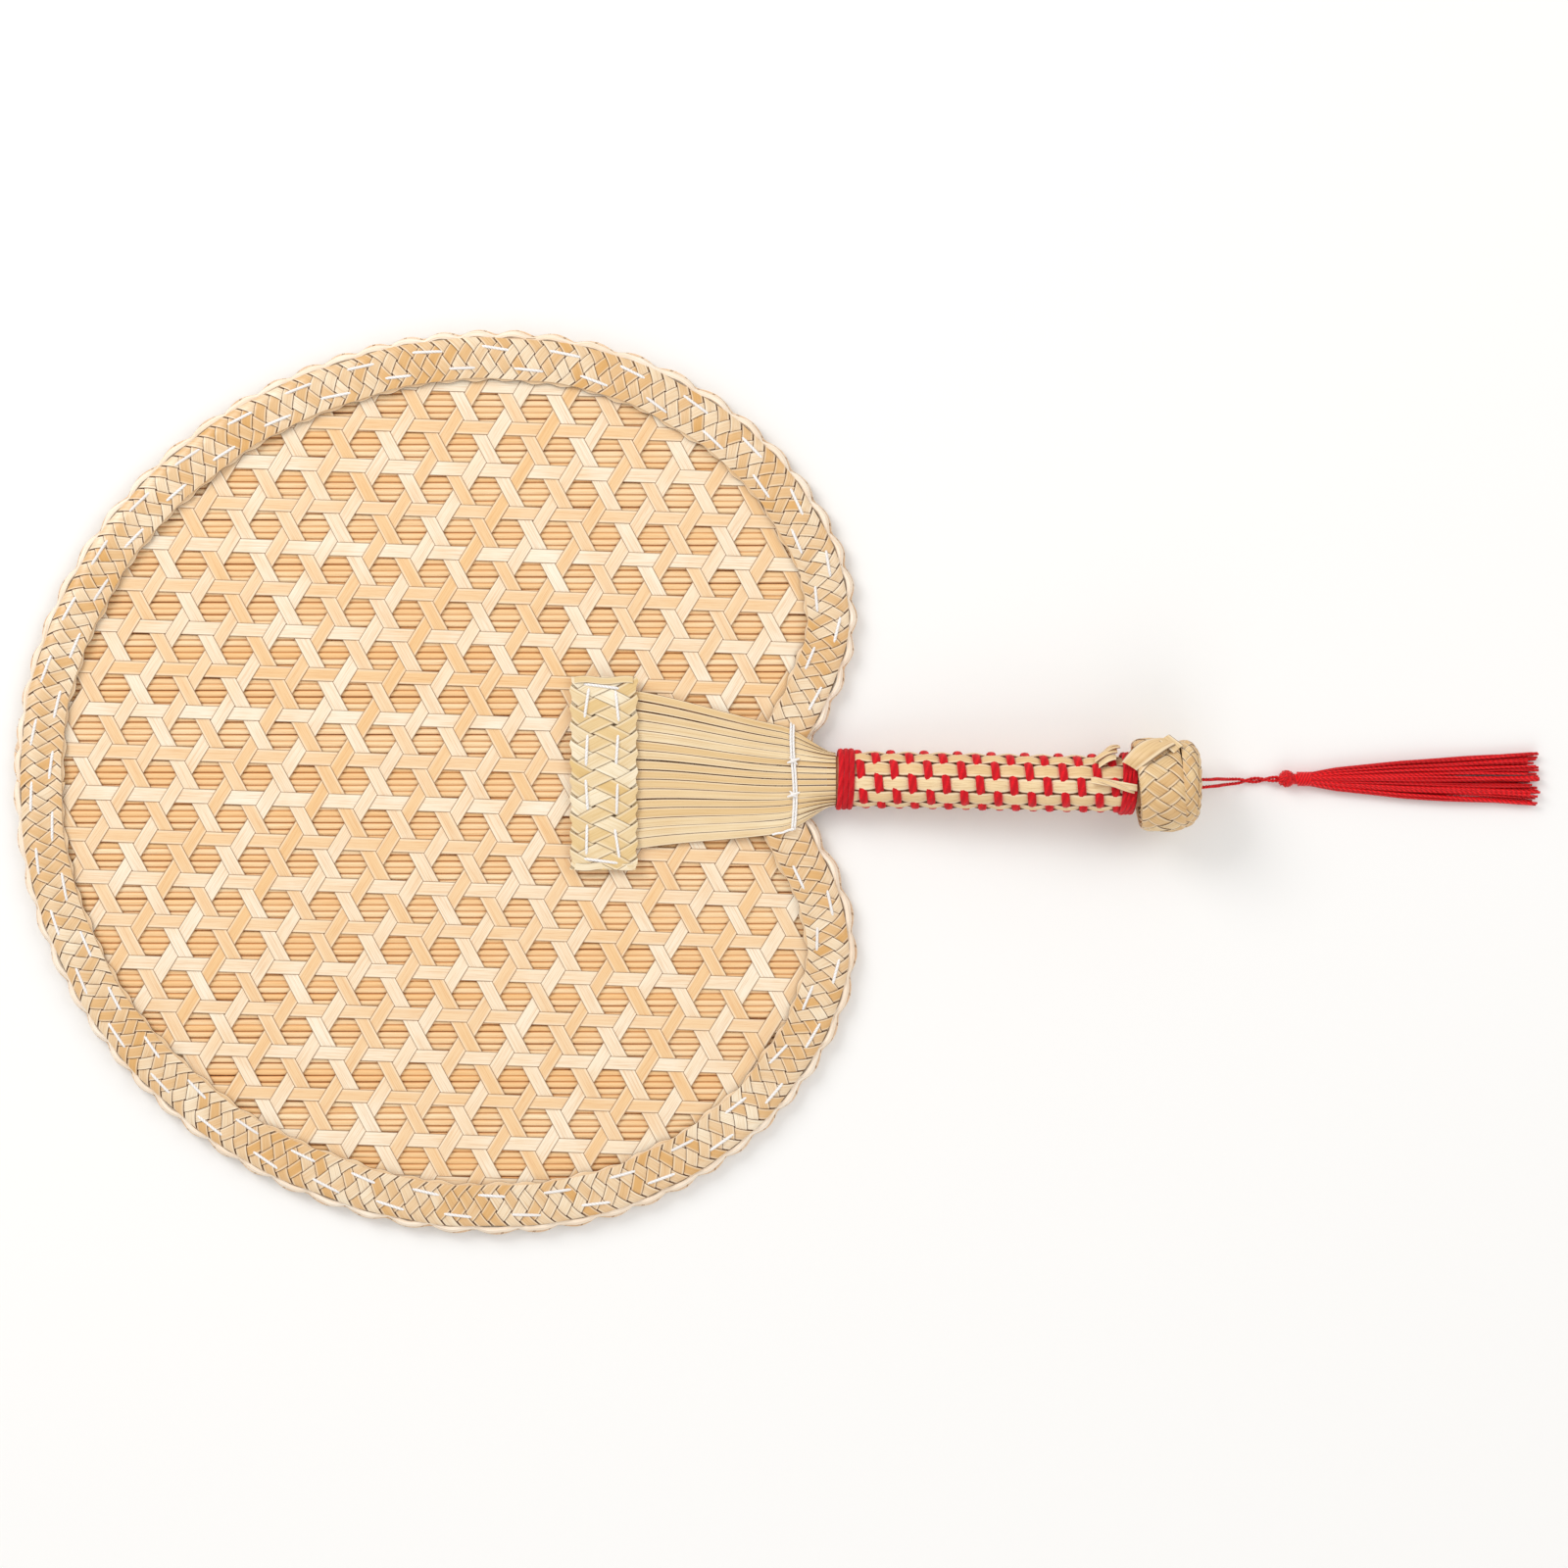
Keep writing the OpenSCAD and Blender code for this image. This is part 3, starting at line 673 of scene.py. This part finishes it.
# The outer straws of the back braid roll over its edge and fill the gap between the two faces.
roll, roll_r, roll_steps = [], [], 680
for i in range(roll_steps + 1):
    run = edge_length * i / roll_steps
    wave = rim_wave(run)
    x, y, tx, ty = edge_frame(run)
    inward = (2.1 - 1.2 * wave + 0.2 * math.sin(run / (1.9 * mm))) * mm
    roll.append(Vector((x + ty * inward, y - tx * inward, 3.1 * mm)))
    roll_r.append((1.15 + 0.35 * wave + 0.08 * math.sin(run / (0.9 * mm))) * mm)
tube(form, roll, roll_r, (0, 0, 1), sides=10, flat=1.55, tone=0.15)
new_piece("rim_braid_back_straws", form, back_rim_straw, "fan", "rim_straw", "rim_braid_back")


# Rim stitches: white cotton thread in two rows of running stitches through both braids.
# Each stitch is a short bar on the face, and its ends go down between the straws.

random.seed(13)
cotton = thread_material("white_cotton", "FFFFFF", "EDE6E0", 1.1 * mm, 0.7, 0.1, 0.08 * mm, hairs=1500.0, hairy=0.35)
thread_w = 0.95 * mm


def stitch(form, start, end, rise):
    """A stitch from a point to another that stands a rise above them in the middle and sinks in at its ends."""
    route = []
    for i in range(9):
        t = i / 8
        route.append(start.lerp(end, t) + Vector(rise) * (1 - (2 * t - 1) ** 6) - Vector(rise) * 0.45)
    tube(form, route, thread_w / 2, rise, sides=6, tone=random.random())


for face, on_rim, up in (("front", on_front_rim, 1), ("back", on_back_rim, -1)):
    form = new_form()
    for row, share in ((0, 0.25), (1, 0.74)):
        for k in range(40):
            turn = math.radians(-178 + row * 4.5 + 9 * k)
            if abs(math.degrees(turn)) < 8:
                continue
            run = float(np.interp(-turn, -edge_turns, edge_runs))
            slant = random.uniform(0.02, 0.09)
            reach = random.uniform(4.3, 5.0) * mm
            start, end = (Vector(on_rim(run + way * reach, share + way * slant / 2, 0.42 * mm)) for way in (-1, 1))
            stitch(form, start, end, Vector((0, 0, up * 0.55 * mm)))
    new_piece(f"rim_{face}_thread", form, cotton, "fan", "white_thread", f"rim_stitches_{face}", sharp=80)


# Stalks: sixteen flat straws that grow out of the blade, cross the notch and close into the handle.
# They are cut from the blade's own straws, pressed flat, and fan out under the short braid at the root.

random.seed(17)
neck_x, handle_y, handle_r, neck_b = 74 * mm, 0.9 * mm, 9.4 * mm, 5.6 * mm
stalk_count, stalk_t, stalk_arc = 16, 0.3 * mm, 205
patch_x, notch_x = 10.4 * mm, 59.4 * mm


def ease(t):
    """A smooth step from 0 to 1."""
    t = min(max(t, 0), 1)
    return t * t * (3 - 2 * t)


def axis_y(x):
    """The handle's middle line across the fan."""
    return handle_y + (knob_y - handle_y) * ease((x - neck_x) / (92.6 * mm))


def axis_z(x):
    """The handle's middle line in height."""
    return 7 * mm + 8.9 * mm * ease((x - 48 * mm) / (118.6 * mm) * 0.96)


def on_handle(x, angle, off):
    """A point round the handle, which is flat at the neck and round from its first third on."""
    tall = neck_b + (handle_r - neck_b) * ease((x - neck_x) / (32 * mm))
    return Vector((x, axis_y(x) + (handle_r + off) * math.cos(angle), axis_z(x) + (tall + off) * math.sin(angle)))


def stalk_frame(k, x):
    """Middle, upward way and width of one stalk at a place along the fan."""
    part = (k + 0.5) / stalk_count - 0.5
    spread = 33 * mm if x >= notch_x else 50 * mm - 17 * mm * (x - patch_x) / (notch_x - patch_x)
    y = 3 * mm * ease((notch_x - x) / (50 * mm)) + handle_y + part * spread
    t = (x - notch_x + 2 * mm) / (neck_x - notch_x + 1 * mm)
    t = 0.5 * (ease(t) + min(max(t, 0), 1))
    z = 6.15 * mm + 1.2 * mm * ease((x - 34 * mm) / (10 * mm))
    angle = math.radians(90 - part * stalk_arc)
    arc = on_handle(neck_x, angle, -1.3 * mm)
    lean = math.radians(90 - part * stalk_arc * t)
    width = (spread / stalk_count) * (1 - t) + math.radians(stalk_arc) * 7.6 * mm / stalk_count * t
    return Vector((x, y + (arc.y - y) * t, z + (arc.z - z) * t)), Vector((0, math.cos(lean), math.sin(lean))), width


stalk_straw = straw_material("stalk_straw", "F3E1BC", "E2C08A", "CA9E62", "6E3E12", rough=0.5, lines=7.0, run=25.0,
                             streaks=0.75, edge=1.0, depth=0.12)
form = new_form()
for k in range(stalk_count):
    drift, start = random.uniform(-0.3, 0.3), random.uniform(-5, -2) * mm
    broad = random.uniform(0.95, 1.16)

    def place(share, side):
        x = start + (73.2 * mm - start) * share
        middle, up, width = stalk_frame(k, x)
        flat = Vector((0, up.z, -up.y))
        fold = 0.12 * mm * (1 - abs(side)) + (0.12 * mm if k % 2 else 0)
        point = middle + flat * (side * width * 0.47 * broad + drift * mm * 0.5 * math.sin(share * 5))
        return point + up * fold, x

    strip(form, 36, 4, random.random(), place)
bmesh.ops.solidify(form, geom=form.faces, thickness=stalk_t)
new_piece("stalk_straws", form, stalk_straw, "fan", "stalk_straw", "stalks")


# Root braid: a short wide braid sewn flat over the ends of the stalks, with its own white stitches.
# Its ends are folded under and held by one cross stitch each; a white thread also ties the stalks at the notch.

random.seed(19)
root_low, root_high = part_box("root_braid")
root_w, root_l = root_high.x - root_low.x, root_high.y - root_low.y
root_z = root_high.z - 0.35 * mm
root_pitch, root_t = 5.65 * mm, 0.22 * mm


def on_root(run, share, height):
    """A point on the root braid, which runs across the blade."""
    bulge = 0.5 * mm * math.sin(run / root_pitch * 2 * math.pi) * (abs(2 * share - 1) ** 3)
    x = root_high.x - share * root_w + bulge
    y = root_high.y - run
    return x, y, root_z + height


form = new_form()
braid(form, root_l + 31 * mm, root_w, root_pitch, 0.3 * mm, root_t,
      lambda run, share, height: on_root(run - 15 * mm, share, height), wander=0.3 * mm)
for end, way in ((root_low.y, -1), (root_high.y, 1)):
    bmesh.ops.bisect_plane(form, geom=form.verts[:] + form.edges[:] + form.faces[:], plane_co=(0, end, 0),
                           plane_no=(0, way, 0), clear_outer=True)
layers = form.verts.layers.float
for end, way in ((root_low.y, -1), (root_high.y, 1)):
    def place(share, side):
        x = root_low.x + 1.2 * mm + (root_w - 2.4 * mm) * share
        y = end - way * (1.1 + 1.1 * side * way) * mm + way * 0.3 * mm * math.sin(share * 9)
        return (x, y, root_z + (0.65 + 0.25 * math.sin(share * 7)) * mm), x
    strip(form, 16, 3, 0.5 + 0.2 * way, place)
bmesh.ops.solidify(form, geom=form.faces, thickness=-root_t)
root_straw = straw_material("root_straw", "F8EED6", "DFBC7C", "CFA868", "5E3C12", rough=0.42, lines=7.0,
                            streaks=0.5, edge=0.7)
new_piece("root_braid_straws", form, root_straw, "fan", "rim_straw", "root_braid")

form = new_form()
root_y = (root_low.y + root_high.y) / 2
bar_z = root_z + 0.45 * mm
for x in (-5.4, 4.2):
    for k in range(4):
        y = root_y + (k - 1.5) * 14.4 * mm + random.uniform(-1, 1) * mm
        slip = random.uniform(-0.8, 0.8) * mm
        stitch(form, Vector((x * mm - slip, y - 4.7 * mm, bar_z)), Vector((x * mm + slip, y + 4.7 * mm, bar_z)),
               Vector((0, 0, 0.7 * mm)))
for way in (-1, 1):
    y = root_y + way * 27.6 * mm
    stitch(form, Vector((-6.2 * mm, y + 0.6 * mm, bar_z)), Vector((4.6 * mm, y - 0.8 * mm, bar_z)),
           Vector((0, 0, 0.7 * mm)))
new_piece("root_thread", form, cotton, "fan", "white_thread", "root_stitches", sharp=80)

form = new_form()
for x0 in (59.5, 60.35):
    tie = []
    for k in range(-1, stalk_count * 4 + 2):
        part = k / 4 - 0.125
        point, up, width = stalk_frame(part, x0 * mm)
        sway = Vector((0.5 * mm * math.sin(part / 3), 0, 0))
        tie.append(point + up * (0.55 + 0.1 * math.cos(part * 2 * math.pi)) * mm + sway)
    for way, stop in ((-1, tie[0]), (1, tie[-1])):
        down = [stop + Vector((0, way * 0.5 * mm * i, -0.8 * mm * i)) for i in (1, 2)]
        tie = down[::-1] + tie if way < 0 else tie + down
    tube(form, tie, 0.42 * mm, (1, 0, 0), sides=6, tone=0.4)
for part in (10.4, 5.1):
    knot = stalk_frame(part, 59.9 * mm)[0] + Vector((0, 0, 1.15 * mm))
    for x, y, thick in ((1.9, 0.7, 0.5), (1.2, -1.1, 0.4)):
        reach = Vector((x, y, 0)) * mm
        drop = Vector((0, 0, 0.45 * mm))
        tube(form, [knot - reach - drop, knot - reach * 0.5, knot, knot + reach * 0.5, knot + reach - drop],
             [thick * mm * w for w in (0.6, 0.9, 1.25, 0.9, 0.6)], (0, 0, 1), sides=6, tone=0.3)
tail = [Vector(p) * mm for p in ((60.0, -14.8, 8.3), (58.2, -15.2, 8.6), (56.4, -16.0, 8.3), (54.6, -16.2, 7.9),
                                 (53.2, -16.6, 7.6))]
tube(form, tail, 0.38 * mm, (0, 0, 1), sides=6)
new_piece("stalk_tie_thread", form, cotton, "fan", "white_thread", "stalk_thread", sharp=80)


# Handle: eleven flat straw warps round a core of straw, woven through with one red yarn wound round and round.
# With an odd number of warps the yarn passes over a warp on one turn and under it on the next.

random.seed(23)
warp_count, weft_pitch, yarn_turns, yarn_x = 11, 5.25 * mm, 15.5, 80 * mm
warp_off, warp_wave = -1.05 * mm, 0.42 * mm
handle_straw = straw_material("handle_straw", "F3DCB0", "E4C08A", "C49660", "8A4A2A", rough=0.5, lines=6.0, run=160.0,
                              streaks=0.6, edge=0.85, depth=0.14, gap_shade_and_tint="EE9C8C")
form = new_form()
for k in range(warp_count):
    angle, tone = 2 * math.pi * k / warp_count, random.random()

    def place(share, side):
        x = 74.6 * mm + (163.2 - 74.6) * mm * share
        turn = (x - yarn_x) / weft_pitch - k / warp_count
        wave = math.cos(math.pi * (turn + k))
        pinch = 0.93 - 0.12 * ease(wave)
        off = warp_off - warp_wave * wave + 0.16 * mm * (1 - side * side) - 0.05 * mm * (k % 2)
        # The warp is tinted pink where it dips under the yarn.
        untinted = 1 - 0.9 * ease((wave - 0.2) * 1.4) * (0.6 + 0.4 * math.sin(x / (2.3 * mm) + k))
        return on_handle(x, angle - side * pinch * math.pi / warp_count, off), x, untinted

    strip(form, 150, 4, tone, place)
bmesh.ops.solidify(form, geom=form.faces, thickness=0.28 * mm)
new_piece("handle_warp_straws", form, handle_straw, "fan", "stalk_straw", "handle_warps")

red_yarn = thread_material("red_yarn", "EA1220", "BE0A18", 5.0 * mm, 0.85, 0.12, 0.3 * mm, plies=3.0,
                           hairs=1700.0, hairy=0.7)
form = new_form()
yarn, outs, run = [], [], []
for i in range(int(yarn_turns * warp_count * 6) + 1):
    lap = i / (warp_count * 6)
    angle, x = 2 * math.pi * lap, yarn_x + weft_pitch * lap
    off = -0.95 * mm + 0.42 * mm * math.cos(math.pi * warp_count * lap)
    yarn.append(on_handle(x, angle, off))
    outs.append((on_handle(x, angle, 1 * mm) - on_handle(x, angle, -1 * mm)).normalized())
tube(form, yarn, 1.3 * mm, outs, sides=8, flat=0.4)
new_piece("handle_yarn_strand", form, red_yarn, "fan", "red_yarn", "handle_yarn", sharp=80)


# Wraps: the same red yarn wound tight round the handle, three turns at the neck and three in front of the knob.
# They press the ends of the warps onto the core and lock the weaving between them.

for name, x0, x1, laps, off in (("front_wrap", 73.6, 78.6, 3, -0.35), ("rear_wrap", 162.2, 166.4, 3, -0.2)):
    form = new_form()
    for lap in range(laps):
        x_mid = (x0 + (x1 - x0) * (lap + 0.5) / laps) * mm
        wind, outs = [], []
        for i in range(73):
            angle = 2 * math.pi * i / 72 + lap
            x = x_mid + 0.55 * mm * math.sin(angle + 0.6)
            wobble = 0.1 * mm * math.sin(3 * angle + lap)
            wind.append(on_handle(x, angle, off * mm + wobble))
            outs.append((on_handle(x, angle, 1 * mm) - on_handle(x, angle, -1 * mm)).normalized())
        tube(form, wind, 0.95 * mm, outs, sides=8, flat=0.75, tone=random.random())
    new_piece(f"{name}_yarn", form, red_yarn, "fan", "red_yarn", name, sharp=80)


# Loose ends: warp straws that were cut short at the rear wrap and spring out of it.
# One lies across the wrap onto the knob, with a thin split beside it; four stick out at the side.

random.seed(27)
form = new_form()


def loose_end(x0, x1, angle0, angle1, off0, off1, wide, curl=0.0, tone=0.2):
    """A flat straw end that leaves the handle between two places round it."""
    def place(share, side):
        x = (x0 + (x1 - x0) * share) * mm
        off = (off0 + (off1 - off0) * share + curl * math.sin(math.pi * share)) * mm
        angle = math.radians(angle0 + (angle1 - angle0) * share) + side * wide * mm * 0.5 / handle_r
        return on_handle(min(x, 170 * mm), angle, off), x, 1.0
    strip(form, 12, 3, tone, place)


loose_end(152.5, 166.6, 84, 97, 0.5, 1.3, 1.9, 1.0)
loose_end(153.5, 165.8, 81, 104, 0.6, 1.0, 1.1, 1.6, 0.6)
for x0, x1, a0, a1, off in ((154, 161.0, 40, 22, 1.6), (155.5, 162.0, 28, 12, 2.4), (156.5, 161.5, 14, 4, 2.6),
                            (155, 160.5, 52, 38, 1.3)):
    loose_end(x0, x1, a0, a1, 0.0, off, 2.6, 0.9, random.random())
bmesh.ops.solidify(form, geom=form.faces, thickness=0.25 * mm)
new_piece("loose_straw_ends", form, handle_straw, "fan", "stalk_straw", "loose_straw")


# Knob: a straw braid rolled up on the handle's end, its last straw folded over the edge.
# The end is closed by a narrow braid coiled round the hole for the cord.

random.seed(29)
band_low, band_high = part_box("knob_band")
coil_low, coil_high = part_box("knob_coil")
band_r, band_in = (band_high.z - band_low.z) / 2, 10.2 * mm
band_x, band_w = (band_low.x + band_high.x) / 2, 13.8 * mm
band_slant, band_laps, band_pitch, band_t = math.radians(6), 4, 5.2 * mm, 0.26 * mm
knob_straw = straw_material("knob_straw", "EBD0A0", "D9AE74", "B5834A", "5A3010", rough=0.45, lines=6.0,
                            streaks=0.55, edge=0.8)


def on_band(run, share, height):
    """A place on the braid rolled round the knob's axis, from the outer turn inward; it starts underneath."""
    lap = run / (2 * math.pi * (band_r + band_in) / 2)
    r = band_r - 0.9 * mm - (band_r - band_in) * max(lap, 0) / band_laps + height
    r -= 1.3 * mm * abs(2 * share - 1) ** 4 * (1 if lap < 1 else 0.4)
    angle = -1.9 - 2 * math.pi * lap
    y, z = r * math.cos(angle), r * math.sin(angle)
    return band_x - band_w / 2 + share * band_w - y * math.tan(band_slant), knob_y + y, knob_z + z


form = new_form()
band_l = band_laps * 2 * math.pi * (band_r + band_in) / 2
braid(form, band_l, band_w, band_pitch, 0.32 * mm, band_t, on_band, wander=0.25 * mm)
bmesh.ops.solidify(form, geom=form.faces, thickness=band_t)
new_piece("knob_rolled_braid", form, knob_straw, "fan", "knob_straw", "knob_band")


# Folded end: the last broad straw of the knob's roll, which keeps the roll from opening.
# It comes over the front edge, lies slantwise on the shoulder, and is turned back and tucked in.

form = new_form()


def folded_end(share, side):
    """A broad straw that comes over the front edge and lies slantwise on the band's shoulder."""
    x = band_low.x - 2.4 * mm + share * 12.2 * mm - side * 2.4 * mm
    angle = math.radians(64 - 33 * share - side * 10.5 * (0.7 + 0.3 * math.sin(math.pi * share)))
    r = band_r + (1.0 * math.sin(math.pi * (0.12 + 0.8 * share)) - 0.45 * abs(side) ** 3 - 3.4 * (1 - share) ** 4) * mm
    return (x, knob_y + r * math.cos(angle), knob_z + r * math.sin(angle)), share * 14 * mm


def tucked_end(share, side):
    """The turned-back part, which dives under the next straw at the roll's outer edge."""
    x = band_low.x + 8.8 * mm + share * 4.2 * mm + side * 1.7 * mm
    angle = math.radians(30 + 13 * share - side * 7.5)
    r = band_r + (0.85 - 1.9 * share) * mm
    return (x, knob_y + r * math.cos(angle), knob_z + r * math.sin(angle)), share * 7 * mm


strip(form, 18, 6, 0.35, folded_end)
strip(form, 10, 5, 0.15, tucked_end)
bmesh.ops.solidify(form, geom=form.faces, thickness=0.3 * mm)
new_piece("knob_folded_end", form, knob_straw, "fan", "knob_straw")


# Coil: a narrow three-straw braid wound on edge, which closes the knob's end round the hole for the cord.
# It is sewn to the rolled braid from inside, so no stitch shows.

coil_r = (coil_high.z - coil_low.z) / 2


def on_coil(outer, inner, x_out, x_in):
    """Where one ring of the coil goes, between two radii and two heights."""
    def place(run, share, height):
        angle = run / outer
        r = outer + (inner - outer) * share
        puff = 0.9 * mm * math.sin(math.pi * share)
        x = x_out + (x_in - x_out) * share
        slope = math.atan2(outer - inner, x_in - x_out + 1e-9)
        x += (height + puff) * math.sin(slope)
        r += (height + puff) * math.cos(slope)
        return x, knob_y + r * math.cos(angle), knob_z + r * math.sin(angle)
    return place


# The coil's side and the two rings on its end: how far each edge is from the coil's own radius and from its end.
coil_rings = ((0.85, -0.4, coil_low.x - 1.9 * mm, coil_high.x - 0.9 * mm),
              (-0.6, -4.4, coil_high.x - 0.9 * mm, coil_high.x - 0.7 * mm),
              (-4.5, -8.5, coil_high.x - 0.8 * mm, coil_high.x - 0.9 * mm))
coil_w, coil_pitch, coil_t = 4.4 * mm, 4.6 * mm, 0.24 * mm
form = new_form()
for out, into, x_out, x_in in coil_rings:
    outer, inner = coil_r + out * mm, coil_r + into * mm
    braid(form, 2 * math.pi * outer, coil_w, coil_pitch, 0.3 * mm, coil_t, on_coil(outer, inner, x_out, x_in),
          strands=3)
bmesh.ops.solidify(form, geom=form.faces, thickness=coil_t)
new_piece("knob_coiled_braid", form, knob_straw, "fan", "knob_straw", "knob_coil")


# Inside: the straw core of the handle and the cord's knot in the hole keep their solid shape.
# The core shows only between the warps; the knot only through the coil's hole.

# The handle core's mesh has no round values, so all of it takes the core straw's painted gap shade.
for node, finish in (("handle_core", core_straw), ("cord_knot", red_silk)):
    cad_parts[node].data.materials.clear()
    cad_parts[node].data.materials.append(finish)
